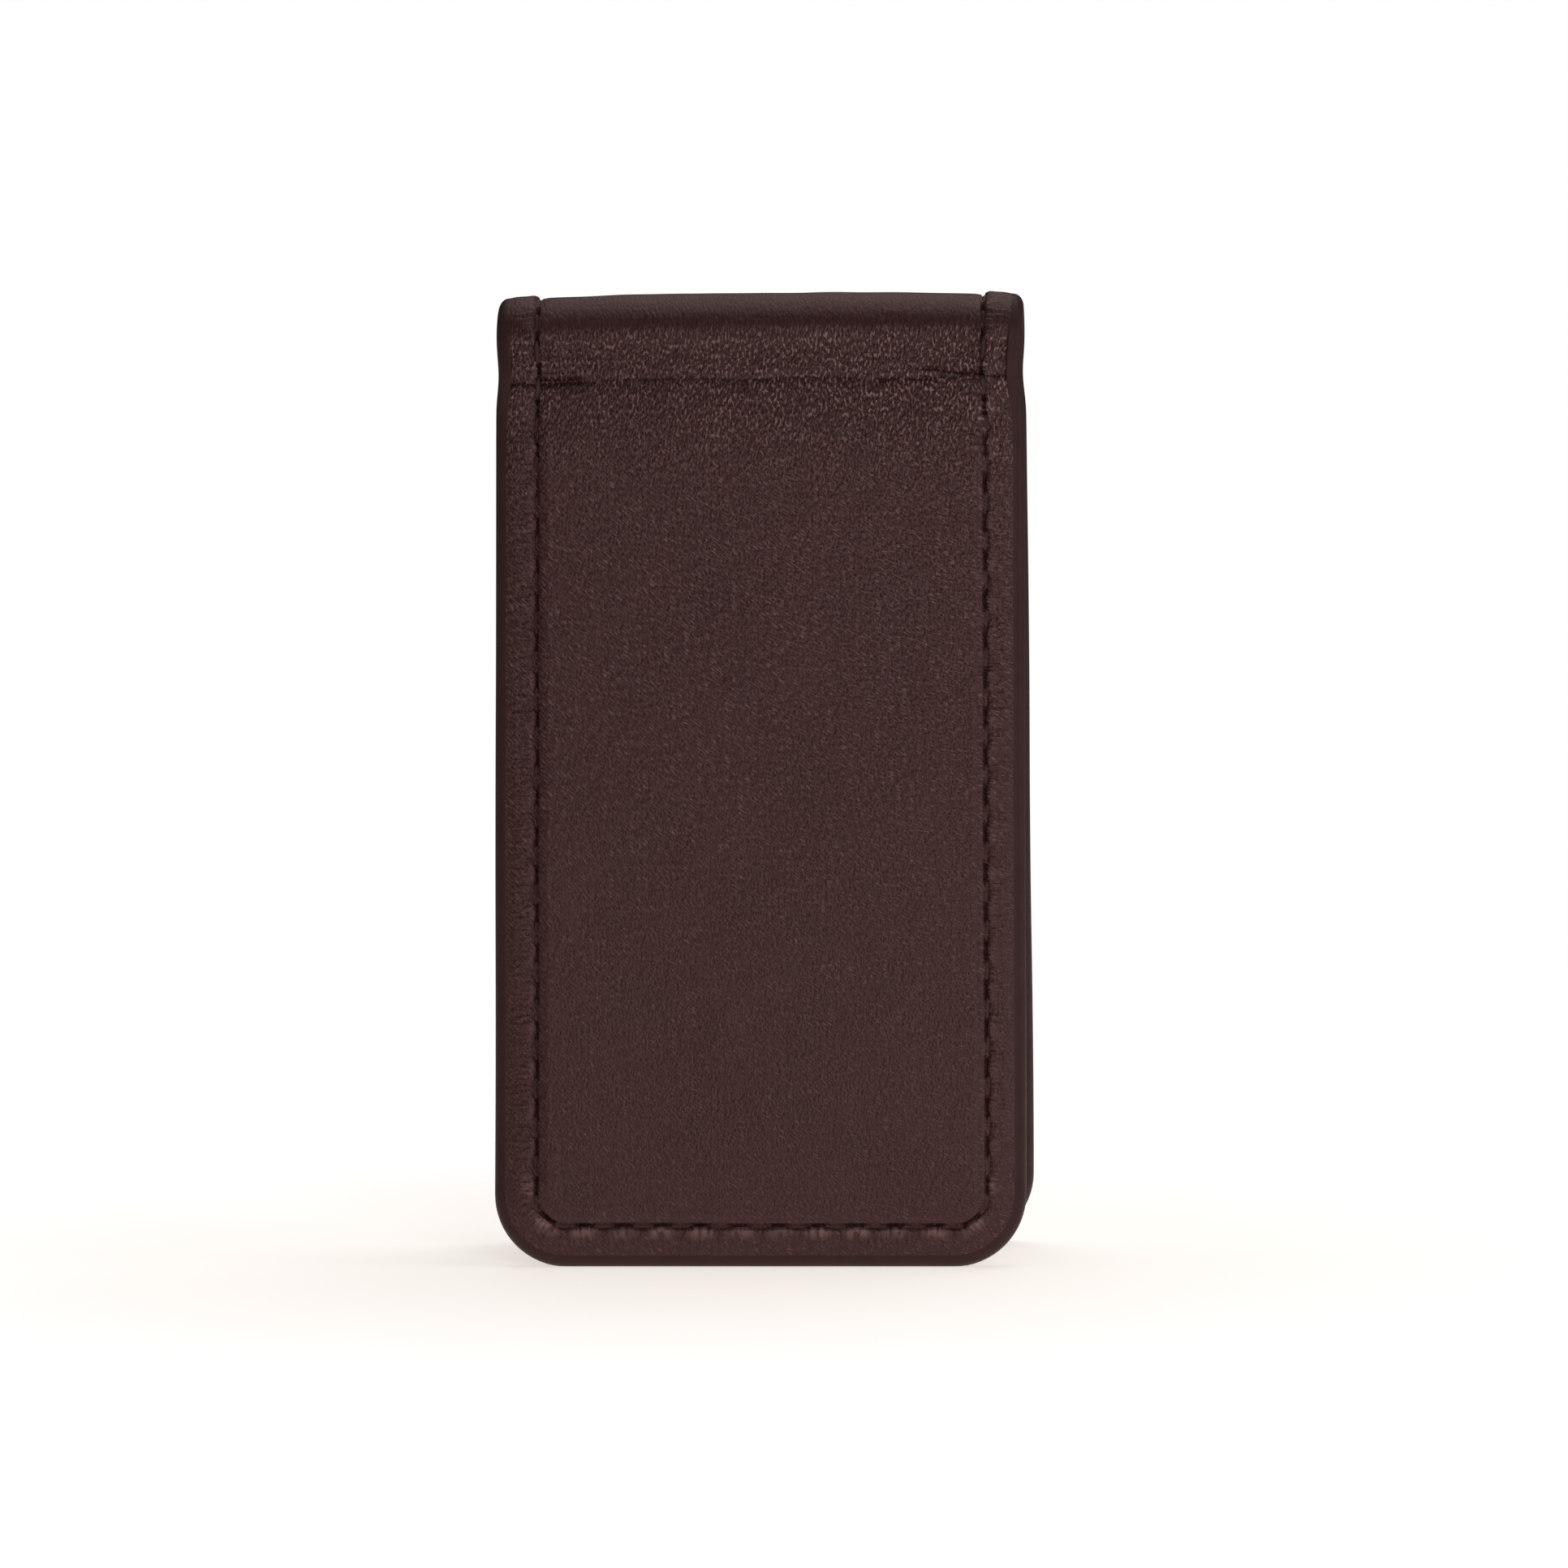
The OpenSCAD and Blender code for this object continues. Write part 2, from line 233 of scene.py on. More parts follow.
def border_roll(inset, middle, turn):
    """The rounded border, from the bead to the seam."""
    across = np.clip((inset - ROLL_FROM) / (middle - ROLL_FROM), 0, 1)
    return np.sin(turn * math.pi * across) ** ROLL_POWER


def seam_hollow(inset, along, middle, depth):
    """The groove of the seam, wide and shallow under each stitch, a deep slit between two, and
    with a hole at each stitch's end. Also how far each place is between two stitches, 0 to 1."""
    from_stitch = to_stitch(along)
    between = smooth(0.62, 0.95, from_stitch)
    off = inset - middle - 0.10 * between
    width = 0.22 - 0.13 * between
    deep = depth * (0.22 + 0.98 * between)
    hole = bump(from_stitch - HOLE_OFF, HOLE_R) * bump(inset - middle - 0.04, 0.12)
    return deep * bump(off, width) + 0.5 * depth * hole, smooth(0.45, 1.15, from_stitch)


def outer_face(x, run):
    """How far out the outer leather's face is. Between stitches it is puffed up beside the seam,
    most of all at the bottom, and the seam pulls it into a notch over the fold."""
    t = height_up(run)
    inset, along, facing = near_edge(x, t)
    middle = seam_line(x, run, facing)
    border = BORDER_MID + EDGE_R + (FOLD_R - BORDER_MID) * border_rise(t)
    shoulder = shoulder_rise(inset, middle - 0.08, OUTER_SHOULDER_W)
    crown = 0.10 + 0.14 * smooth(69, 72.5, t)
    crown = crown * (1 - np.clip(np.abs(x) / CROWN_HALF_W, 0, 1) ** 2.5)
    crown = crown * smooth(3, 12, t)
    roll = OUTER_ROLL * border_roll(inset, middle, 0.8) * (1 - shoulder)
    hollow, between = seam_hollow(inset, along, middle, OUTER_GROOVE)
    puff = (0.13 + 0.26 * smooth(8, 3.5, t)) * between * bump(inset - middle + 0.26, 0.40)
    dent = 0.03 * (1 - between) * bump(inset - middle - 0.4, 0.4)
    notch = 0.16 * smooth(71.5, 74, t) * bump(inset - middle - 0.05, 0.45)
    broad, small = OUTER_SEEDS
    sway = 0.05 * noise(x / 8, run / 8, broad) + 0.022 * noise(x / 2.7, run / 3.1, small)
    return (border + (PANEL_OUT - border + crown) * shoulder + roll + puff - dent
            - hollow - notch - crease_depth(x, run) * (0.6 + 0.4 * shoulder)
            + sway * smooth(1.2, 2.2, inset))


def lining_face(x, run):
    """How far out the lining's face is, which looks inwards."""
    t = height_up(run)
    inset, along, facing = near_edge(x, t)
    middle = seam_line(x, run, facing)
    border = BORDER_MID - EDGE_R + (FOLD_R - BORDER_MID) * border_rise(t)
    panel = PANEL_IN + (FOLD_R - EDGE_R - PANEL_IN) * smooth(68.4, 70.4, t)
    shoulder = shoulder_rise(inset, middle, LINING_SHOULDER_W)
    roll = LINING_ROLL * border_roll(inset, middle, 1)
    hollow, between = seam_hollow(inset, along, middle, LINING_GROOVE)
    puff = 0.07 * between * bump(inset - middle + 0.4, 0.33)
    sway = 0.025 * noise(x / 9, run / 9, LINING_SEED)
    return (border + (panel - border) * shoulder - roll - puff + hollow
            + sway * smooth(1.2, 2.2, inset))


def border_back(t):
    """How far out the two leathers meet at the border. They meet at CORE_OUT over the fold."""
    meet = CORE_IN + 0.5
    return meet + (CORE_OUT - meet) * border_rise(t)


def outer_back(x, run):
    """How far out the outer leather's other face is, against the lining and the board."""
    t = height_up(run)
    inset = near_edge(x, t)[0]
    border = border_back(t)
    return border + (CORE_OUT - border) * smooth(BORDER_W, BORDER_W + 0.5, inset)


def lining_back(x, run):
    """How far out the lining's other face is, against the outer leather and the board."""
    t = height_up(run)
    inset = near_edge(x, t)[0]
    border = border_back(t)
    panel = CORE_IN + (CORE_OUT - CORE_IN) * smooth(68.7, 69.3, t)
    return border + (panel - border) * smooth(BORDER_W, BORDER_W + 0.6, inset)


# ---- nets over a leaf --------------------------------------------------------------------

def edge_columns(rise, across, corner_steps):
    """Columns that run in from the edge: down the left side, along the bottom and up the right.
    Gives where each starts, and its direction."""
    corner = np.linspace(0, math.pi / 2, corner_steps + 2)[1:-1]
    left, top, zero, one = -CLIP_W / 2, rise[::-1], np.zeros, np.ones
    n, m = len(rise), len(across)
    cos, sin = np.cos(corner), np.sin(corner)
    x = [np.full(n, left), -CORNER_X - CORNER_R * cos, across,
         CORNER_X + CORNER_R * cos[::-1], np.full(n, -left)]
    t = [top, CORNER_R - CORNER_R * sin, zero(m), CORNER_R - CORNER_R * sin[::-1], rise]
    in_x = [one(n), cos, zero(m), -cos[::-1], -one(n)]
    in_t = [zero(n), sin, one(m), sin[::-1], zero(n)]
    return [np.concatenate(part) for part in (x, t, in_x, in_t)]


class Net:
    """Faces over a leaf, gathered patch by patch. Layer 0 is the face that shows, and layer 1 is
    the one behind it."""

    def __init__(self):
        self.places, self.quads, self.others, self.count = [], [], [], 0

    def patch(self, x, t, layer):
        """Adds a grid of places, and returns their numbers. Faces of layer 0 run anticlockwise,
        and those of layer 1 clockwise."""
        rows, columns = x.shape
        numbers = self.count + np.arange(rows * columns).reshape(rows, columns)
        self.places.append(np.stack([x.ravel(), t.ravel(), np.full(x.size, layer)], 1))
        self.count += x.size
        a, b, c, d = (numbers[:-1, :-1], numbers[1:, :-1], numbers[1:, 1:], numbers[:-1, 1:])
        quads = np.stack([q.ravel() for q in (a, b, c, d)], 1)
        every = np.concatenate(self.places)
        corners = every[quads]
        ahead = np.roll(corners, -1, 1)
        area = (corners[..., 0] * ahead[..., 1] - corners[..., 1] * ahead[..., 0]).sum(1)
        wrong = (area < 0) if layer == 0 else (area > 0)
        quads[wrong] = quads[wrong][:, ::-1]
        self.quads.append((quads, layer))
        return numbers

    def merged(self):
        """The places without repeats, the faces as lists of their numbers, and their layers."""
        every = np.concatenate(self.places)
        _, first, number = np.unique(np.round(every, 5), axis=0, return_index=True,
                                     return_inverse=True)
        number = number.ravel()
        faces, layers = [], []
        for quads, layer in self.quads:
            for face in number[quads].tolist():
                face = [v for k, v in enumerate(face) if v != face[k - 1]]
                if len(face) > 2:
                    faces.append(face)
                    layers.append(layer)
        for face in self.others:
            faces.append([int(number[v]) for v in face])
            layers.append(1)
        return every[first], faces, np.array(layers)


def layer_net(rise, across, corner_steps, insets, behind_insets):
    """The net of one layer of leather: its face, a plainer one behind, the rim between them, and
    the end at the top of the fold."""
    net = Net()
    x, t, in_x, in_t = edge_columns(rise, across, corner_steps)
    strips = []
    for layer, lines in enumerate((insets, behind_insets)):
        strips.append(net.patch(x[:, None] + in_x[:, None] * lines,
                                t[:, None] + in_t[:, None] * lines, layer))
    grid_x, grid_t = np.meshgrid(across, rise)
    middle = net.patch(grid_x, grid_t, 0)
    ends = across[[0, -1]]
    grid_x, grid_t = np.meshgrid(ends, rise[1:])
    behind = net.patch(grid_x, grid_t, 1)
    bottom = strips[1][len(rise) + corner_steps:len(rise) + corner_steps + len(across), -1]
    net.others.append([*bottom, behind[0, 1], behind[0, 0]][::-1])
    seen, unseen = strips[0][:, 0], strips[1][:, 0]
    for k in range(len(seen) - 1):
        net.others.append([seen[k + 1], seen[k], unseen[k], unseen[k + 1]])
    top = [*strips[0][0], *middle[-1, 1:-1], *strips[0][-1][::-1]]
    under = [*strips[1][0], *strips[1][-1][::-1]]
    net.others.append(top + under[::-1])
    return net.merged()


# ---- meshes ------------------------------------------------------------------------------

def new_object(name, points, faces):
    """A mesh object from places in millimetres."""
    mesh = bpy.data.meshes.new(name)
    mesh.from_pydata((points * MM).tolist(), [], faces)
    made = bpy.data.objects.new(name, mesh)
    bpy.context.scene.collection.objects.link(made)
    return made


def is_inside_out(points, faces):
    """True if the faces of a closed mesh look inwards."""
    fans = np.array([(f[0], f[k], f[k + 1]) for f in faces for k in range(1, len(f) - 1)])
    a, b, c = (points[fans[:, k]] for k in range(3))
    return float((a * np.cross(b, c)).sum()) < 0


def corner_numbers(mesh):
    """The vertex and the face of each face corner."""
    vertex = np.empty(len(mesh.loops), np.int32)
    mesh.loops.foreach_get("vertex_index", vertex)
    count = np.empty(len(mesh.polygons), np.int32)
    mesh.polygons.foreach_get("loop_total", count)
    return vertex, np.repeat(np.arange(len(count)), count)


def set_map(mesh, name, places):
    """Gives the mesh a map with these places, one for each face corner."""
    layer = mesh.uv_layers.new(name=name)
    layer.uv.foreach_set("vector", np.ascontiguousarray(places, np.float32).ravel())


def shade_smoothly(mesh, seen, at_apex):
    """Smooth normals over the face that shows, which agree with the other leaf's at the top of
    the fold, and flat ones on the rest."""
    vertex, face = corner_numbers(mesh)
    flat = np.empty(len(mesh.polygons) * 3, np.float32)
    mesh.polygons.foreach_get("normal", flat)
    flat = flat.reshape(-1, 3)
    area = np.empty(len(mesh.polygons), np.float32)
    mesh.polygons.foreach_get("area", area)
    total = np.zeros((len(mesh.vertices), 3))
    shown = seen[face]
    for k in range(3):
        total[:, k] = np.bincount(vertex[shown], (flat[:, k] * area)[face][shown],
                                  len(total))
    total[at_apex, 1] = 0
    total /= np.maximum(np.linalg.norm(total, axis=1), 1e-12)[:, None]
    mesh.polygons.foreach_set("use_smooth", seen)
    normals = np.where(shown[:, None], total[vertex], flat[face])
    mesh.normals_split_custom_set(normals.tolist())


# Where the bake maps put things: a margin, then the face that shows, then the one behind it
MARGIN, FULL = 0.01, 0.98
SHOWN_W, BEHIND_FROM, BEHIND_W = 0.88, 0.91, 0.08


def leather_layer(name, side, face, behind, net):
    """One half of a layer of leather, from a leaf's bottom edge to the top of the fold."""
    places, faces, layers = net
    x, t, layer = places.T
    run = run_on(side, t)
    out = np.where(layer == 0, face(x, run), behind(x, run))
    points = position(x, run + NUDGE[side], out)
    if is_inside_out(points, faces):
        faces = [f[::-1] for f in faces]
    made = new_object(name, points, faces)
    vertex, of_face = corner_numbers(made.data)
    shown = layers[of_face] == 0
    set_map(made.data, "Grain", np.stack([x[vertex], run[vertex]], 1))
    u = x[vertex] / CLIP_W + 0.5
    u = np.where(shown, MARGIN + SHOWN_W * u, BEHIND_FROM + BEHIND_W * u)
    set_map(made.data, "OFBake", np.stack([u, MARGIN + FULL * t[vertex] / APEX], 1))
    inset, along, _ = near_edge(x, t)
    set_map(made.data, "Edge", np.stack([along[vertex], inset[vertex]], 1))
    shade_smoothly(made.data, layers == 0, np.abs(t - APEX) < 1e-6)
    return made


def tube(sections):
    """Points and faces of a closed tube through sections, an array of (section, point, 3)."""
    count, around = sections.shape[:2]
    numbers = np.arange(count * around).reshape(count, around)
    ahead = np.roll(numbers, -1, 1)
    quads = np.stack([numbers[:-1], numbers[1:], ahead[1:], ahead[:-1]], -1).reshape(-1, 4)
    faces = quads.tolist() + [numbers[0].tolist(), numbers[-1][::-1].tolist()]
    return sections.reshape(-1, 3), faces


# ---- the painted edge --------------------------------------------------------------------

BEAD_POINTS, BEAD_FULLNESS = 17, 0.82
BEAD_CORNER = 15  # columns round a corner


def edge_section():
    """The bead's section: distance in from the edge, and height over the middle of the strip. It
    laps a little over both leathers."""
    angle = np.linspace(-0.5, 0.5, BEAD_POINTS) * math.pi
    inset = EDGE_R - EDGE_R * np.cos(angle) ** BEAD_FULLNESS
    height = (EDGE_R + 0.01) * np.sin(angle)
    lap_in = np.array([1.02, 1.12, 1.10])
    lap_up = np.array([EDGE_R + 0.025, EDGE_R, EDGE_R - 0.12])
    inset = np.concatenate([lap_in[::-1], inset, lap_in])
    height = np.concatenate([-lap_up[::-1], height, lap_up])
    return inset, height


def edge_bead(name, side):
    """The painted edge of one leaf, up to the top of the fold."""
    rise = steps((CORNER_R, 64, 0.5), (64, FOLD_Z, 0.25), (FOLD_Z, APEX, 0.24))
    across = steps((-CORNER_X, CORNER_X, 0.5))
    x, t, in_x, in_t = edge_columns(rise, across, BEAD_CORNER)
    inset, height = edge_section()
    wander = 0.03 * noise(x / 3, t / 3, PAINT_SEEDS[side])
    wander *= smooth(APEX, APEX - 3, t)
    inner = np.clip((inset - 0.7) / 0.3, 0, 1)
    lines = inset + wander[:, None] * (1 - np.abs(2 * inner - 1)) + 0.02 * wander[:, None]
    px = x[:, None] + in_x[:, None] * lines
    pt = np.minimum(t[:, None] + in_t[:, None] * lines, APEX)
    middle = BORDER_MID + (FOLD_R - BORDER_MID) * border_rise(pt)
    sections = position(px, run_on(side, pt) + NUDGE[side], middle + height)
    points, faces = tube(sections)
    if is_inside_out(points, faces):
        faces = [f[::-1] for f in faces]
    made = new_object(name, points, faces)
    vertex, _ = corner_numbers(made.data)
    around = len(inset)
    length = np.concatenate([[0], np.cumsum(np.hypot(np.diff(x), np.diff(t)))])
    section, place = vertex // around, vertex % around
    set_map(made.data, "Grain", np.stack([length[section], place * 0.2], 1))
    set_map(made.data, "OFBake", np.stack([MARGIN + FULL * length[section] / length[-1],
                                           0.02 + 0.9 * place / around], 1))
    made.data.polygons.foreach_set("use_smooth", [True] * (len(faces) - 2) + [False] * 2)
    made.data.update()
    return made


# ---- the seam ----------------------------------------------------------------------------

THREAD_R = 0.18
THREAD_SIDES, STITCH_SECTIONS = 15, 19
PLIES = 3
STITCH_HALF = 0.96
TWIST = 5.2  # radians a millimetre
SLACK = 0.05  # how unevenly the stitches are spaced, but for the first and those on the fold
LAST_PITCHED = (PITCHED_STITCHES - 1) * STITCH_PITCH
BAKE_GRID = 8  # rows and columns of stitches on the bake map


def seam_place(along, hand, side):
    """x, t of places on the seam's line, at lengths along it, on the hand (-1 or 1) side."""
    angle = np.clip((along - CORNER_X) / SEAM_CORNER, 0, 1) * math.pi / 2
    t_side = np.interp(along, SIDE_S, SIDE_T)
    facing = np.sin(angle) * hand
    t_guess = np.where(along < SIDE_S[0], SEAM_INSET, t_side)
    x_guess = hand * np.minimum(along, CLIP_W / 2 - SEAM_INSET)
    inset = seam_line(x_guess, run_on(side, t_guess), facing)
    radius = CORNER_R - inset
    x = hand * (np.minimum(along, CORNER_X) + radius * np.sin(angle))
    t = np.where(along < SIDE_S[0], CORNER_R - radius * np.cos(angle), t_side)
    return x, t


def stitch_sections(middle, hand, side, way, border, swing):
    """Sections along one stitch. way is 1 on the outer leather and -1 on the lining. A stitch
    dips into its holes, and its far end rides a little higher than its near one."""
    share = np.linspace(-1, 1, STITCH_SECTIONS)
    along = middle + STITCH_HALF * share
    x, t = seam_place(np.abs(along), np.where(along < 0, -hand, hand), side)
    x = x + 0.035 * swing * share
    rise = 0.16 * share * smooth(0, 1, np.abs(along) / 17)
    sunk = 0.02 + 0.26 * smooth(71.5, 74, t) - rise
    out = border(t) - way * (sunk + 0.30 * share ** 6)
    run = run_on(side, t)
    centre = position(x, run, out)
    tangent = np.gradient(centre, axis=0)
    tangent /= np.linalg.norm(tangent, axis=1)[:, None]
    up = position(x, run, out + 0.1 * way) - centre
    up /= np.linalg.norm(up, axis=1)[:, None]
    sideways = np.cross(tangent, up)
    angle = np.linspace(0, 2 * math.pi, THREAD_SIDES, endpoint=False)
    plies = 1 + 0.13 * np.cos(PLIES * (angle[None] - TWIST * STITCH_HALF * share[:, None]))
    slim = 1 - 0.35 * np.abs(share) ** 6
    radius = (THREAD_R * plies * slim[:, None])[..., None]
    return centre[:, None] + radius * (np.cos(angle)[None, :, None] * sideways[:, None]
                                       + 0.88 * np.sin(angle)[None, :, None] * up[:, None])


def thread_piece(name, side, way, seed):
    """All stitches of one face of a leaf, joined in one piece."""
    draw = np.random.RandomState(seed)

    def border(t):
        return BORDER_MID + way * EDGE_R + (FOLD_R - BORDER_MID) * border_rise(t)

    points, faces, count, maps, bakes = [], [], 0, [], []
    wanted = [(0.0, 1)] + [(s, hand) for s in STITCHES[1:] for hand in (-1, 1)]
    for number, (middle, hand) in enumerate(wanted):
        shift = SLACK * draw.randn() * (0 < middle < LAST_PITCHED)
        sections = stitch_sections(middle + shift, hand, side, way, border, draw.randn())
        p, f = tube(sections)
        if is_inside_out(p - p.mean(0), f):
            f = [face[::-1] for face in f]
        points.append(p)
        faces += [[v + count for v in face] for face in f]
        count += len(p)
        k = np.arange(len(p))
        along, around = k // THREAD_SIDES, k % THREAD_SIDES
        maps.append(np.stack([along * 0.11 + 3 * number, around * 0.09], 1))
        row, column = divmod(number, BAKE_GRID)
        bakes.append(np.stack([column + 0.05 + 0.9 * along / (STITCH_SECTIONS - 1),
                               row + 0.05 + 0.9 * around / THREAD_SIDES], 1) / BAKE_GRID)
    made = new_object(name, np.concatenate(points), faces)
    vertex, _ = corner_numbers(made.data)
    set_map(made.data, "Grain", np.concatenate(maps)[vertex])
    set_map(made.data, "OFBake", np.concatenate(bakes)[vertex])
    made.data.polygons.foreach_set("use_smooth", [True] * len(faces))
    made.data.update()
    return made


# ---- materials ---------------------------------------------------------------------------

class Graph:
    """A material's nodes, written as sums of sockets and numbers."""

    def __init__(self, name):
        self.material = bpy.data.materials.new(name)
        self.material.use_nodes = True
        self.tree = self.material.node_tree
        self.shader = self.tree.nodes["Principled BSDF"]

    def node(self, kind, inputs=(), **settings):
        made = self.tree.nodes.new(kind)
        for key, value in settings.items():
            setattr(made, key, value)
        for key, value in dict(inputs).items():
            self.feed(made.inputs[key], value)
        return made

    def feed(self, socket, value):
        if isinstance(value, bpy.types.NodeSocket):
            self.tree.links.new(value, socket)
        else:
            socket.default_value = value

    def math(self, operation, *values):
        return self.node("ShaderNodeMath", enumerate(values), operation=operation).outputs[0]

    def places(self, map_name):
        """The two coordinates of a map."""
        apart = self.node("ShaderNodeSeparateXYZ",
                          {0: self.node("ShaderNodeUVMap", uv_map=map_name).outputs[0]})
        return apart.outputs[0], apart.outputs[1]

    def object_places(self):
        """x, y and z in the frame, in metres."""
        at = self.node("ShaderNodeTexCoord").outputs["Object"]
        apart = self.node("ShaderNodeSeparateXYZ", {0: at})
        return tuple(apart.outputs)

    def join(self, x, y):
        return self.node("ShaderNodeCombineXYZ", {0: x, 1: y}).outputs[0]

    def times(self, first, *others):
        for other in others:
            first = self.math("MULTIPLY", first, other)
        return first

    def plus(self, first, *others):
        for other in others:
            first = self.math("ADD", first, other)
        return first

    def step(self, value, low, high, start=0.0, end=1.0):
        """A smooth step of value, from start at low to end at high."""
        made = self.node("ShaderNodeMapRange", {0: value, 1: low, 2: high, 3: start, 4: end},
                         interpolation_type="SMOOTHSTEP")
        return made.outputs[0]

    def cloud(self, x, y, detail=2.0, distortion=0.0):
        """Noise from 0 to 1 over two coordinates."""
        made = self.node("ShaderNodeTexNoise", {"Vector": self.join(x, y), "Scale": 1.0,
                                                "Detail": detail, "Distortion": distortion},
                         noise_dimensions="2D")
        return made.outputs[0]

    def cells(self, x, y, feature="DISTANCE_TO_EDGE"):
        made = self.node("ShaderNodeTexVoronoi", {"Vector": self.join(x, y), "Scale": 1.0},
                         voronoi_dimensions="2D", feature=feature)
        return made.outputs["Distance"]

    def mix(self, share, a, b):
        made = self.node("ShaderNodeMix", data_type="RGBA")
        self.feed(made.inputs["Factor"], share)
        self.feed(made.inputs["A"], a)
        self.feed(made.inputs["B"], b)
        return made.outputs["Result"]

    def finish(self, colour, roughness, height=None, **fixed):
        """Wires the shader. height is in millimetres."""
        self.feed(self.shader.inputs["Base Color"], colour)
        self.feed(self.shader.inputs["Roughness"], roughness)
        for key, value in fixed.items():
            self.shader.inputs[key.replace("_", " ")].default_value = value
        if height is not None:
            relief = self.node("ShaderNodeBump", {"Height": height, "Distance": MM,
                                                  "Strength": 1.0})
            self.feed(self.shader.inputs["Normal"], relief.outputs[0])
        return self.material


def tone(r, g, b):
    return (r, g, b, 1.0)


RED_SHEEN = tone(1.0, 0.73, 0.70)  # dyed wax reddens the highlights


def outer_leather():
    """Dark brown grained leather, with drawn-out pebbles and glints where it bends, and slanting
    flecks on the panel. Heights are in millimetres. Its colour also holds painted light: painted
    shade in the hollows between pebbles, painted highlights on the glints, on the flecks' crests
    and on the puffs by the bottom seam, and a lighter, redder top of the fold."""
    g = Graph("outer_leather")
    x, run = g.places("Grain")
    along, inset = g.places("Edge")
    t = g.math("PINGPONG", run, APEX)
    patchy = g.cloud(g.times(x, 0.45), g.times(run, 0.55), 2.0)
    fine = g.cloud(g.times(x, 5.5), g.times(run, 2.4), 2.0)
    flow = g.cloud(g.times(x, 0.16), g.times(run, 0.13), 3.0)
    stray = g.times(g.plus(g.cloud(g.times(x, 0.8), g.times(run, 0.8), 1.0), -0.5), 0.8)

    # Where it bends: near the fold and a little more to the right, but not over the top
    lean = g.plus(t, g.times(x, 0.22))
    bent = g.plus(g.step(t, 58.5, 67.5, 0.0, 0.75), g.step(lean, 40.0, 67.0, 0.0, 0.25))
    bent = g.times(bent, g.step(t, 72.4, 71.5, 0.08, 1.0))
    near = g.cells(g.plus(g.times(x, 4.6), stray), g.plus(g.times(run, 2.5), stray), "F1")
    pebbles = g.step(near, 0.66, 0.05)
    glints = g.step(g.cloud(g.times(x, 5.4), g.times(run, 2.6), 1.0), 0.56, 0.66)

    # Where it is flat, and more towards the top of the front
    flat = g.times(g.plus(1.0, g.times(bent, -0.75)), g.step(t, 72.4, 71.0, 0.2, 1.0))
    higher = g.step(run, 10.0, 62.0, 0.45, 1.0)
    slant = g.plus(run, g.times(x, 0.68), g.times(x, x, -0.009))
    away = g.cells(g.plus(g.times(x, 2.2), stray), g.plus(g.times(slant, 4.2), stray), "F1")
    flecks = g.step(away, 0.62, 0.08)
    crests = g.step(g.cloud(g.times(x, 1.9), g.times(slant, 8.0), 1.0), 0.58, 0.68)

    # On the border, where the seam gathers it into puckers, and a painted highlight on the puffs
    # between stitches, most by the bottom seam
    border = g.times(g.step(inset, 3.05, 2.75), g.step(inset, 1.1, 1.7))
    puckers = g.cloud(g.times(along, 3.0), g.times(inset, 0.7), 1.0, 0.3)
    pleats = g.times(puckers, border, g.step(inset, 1.9, 2.8, 0.07, 0.13))
    painted_puff_highlight = g.times(g.step(g.math("PINGPONG", along, STITCH_PITCH / 2), 0.1, 1.0),
                     g.times(g.step(inset, 1.9, 2.8), g.step(inset, 3.12, 3.02)),
                     g.step(puckers, 0.30, 0.62), g.step(t, 9.0, 4.5, 0.12, 0.62),
                     g.step(patchy, 0.35, 0.55, 0.5, 1.0))

    height = g.plus(g.times(pebbles, g.plus(0.012, g.times(bent, 0.046))),
                    g.times(flat, higher, 0.030, flecks),
                    g.times(crests, flat, 0.012),
                    g.times(glints, bent, 0.022),
                    g.times(fine, 0.040),
                    pleats)

    depth = g.plus(g.times(flow, 0.55), g.times(g.step(fine, 0.3, 0.7), 0.45))
    shade = g.mix(depth, tone(0.029, 0.0105, 0.0098), tone(0.056, 0.0204, 0.0194))
    # Painted shade: darker in the hollows between the pebbles, more where it bends
    pits = g.times(g.step(near, 0.42, 0.66, 0.0, 0.75), g.plus(g.times(bent, 0.7), 0.3))
    shade = g.mix(pits, shade, tone(0.012, 0.0048, 0.0045))
    # light is the one tone of the painted highlights. Here: painted highlights on thin slanting
    # crests of the grain, on the flat panel and more towards its top, in patches
    light = tone(0.23, 0.132, 0.122)
    painted_crest_highlight = g.times(g.times(crests, 0.58), g.times(flat, higher))
    shade = g.mix(g.times(painted_crest_highlight, g.step(patchy, 0.20, 0.80, 0.5, 1.0)), shade, light)
    # Painted glints in the same light tone where it bends, patchy and stronger towards the
    # right, the side the light comes from
    sunny = g.times(g.step(patchy, 0.28, 0.60, 0.5, 1.0), g.step(x, -16.0, 14.0, 0.65, 1.0))
    shade = g.mix(g.times(glints, bent, sunny), shade, light)
    # Painted highlight on the puffs between stitches, in the light tone
    shade = g.mix(painted_puff_highlight, shade, light)
    # Painted highlight: the top of the fold is lighter and redder in colour, and also rougher
    top = g.step(t, 72.6, 74.4)
    shade = g.mix(g.times(top, 0.15), shade, tone(0.26, 0.085, 0.08))

    rough = g.plus(g.times(flow, 0.08), g.plus(0.35, g.times(bent, -0.05)), g.times(top, 0.18))
    return g.finish(shade, rough, height, Specular_IOR_Level=0.33, Specular_Tint=RED_SHEEN)


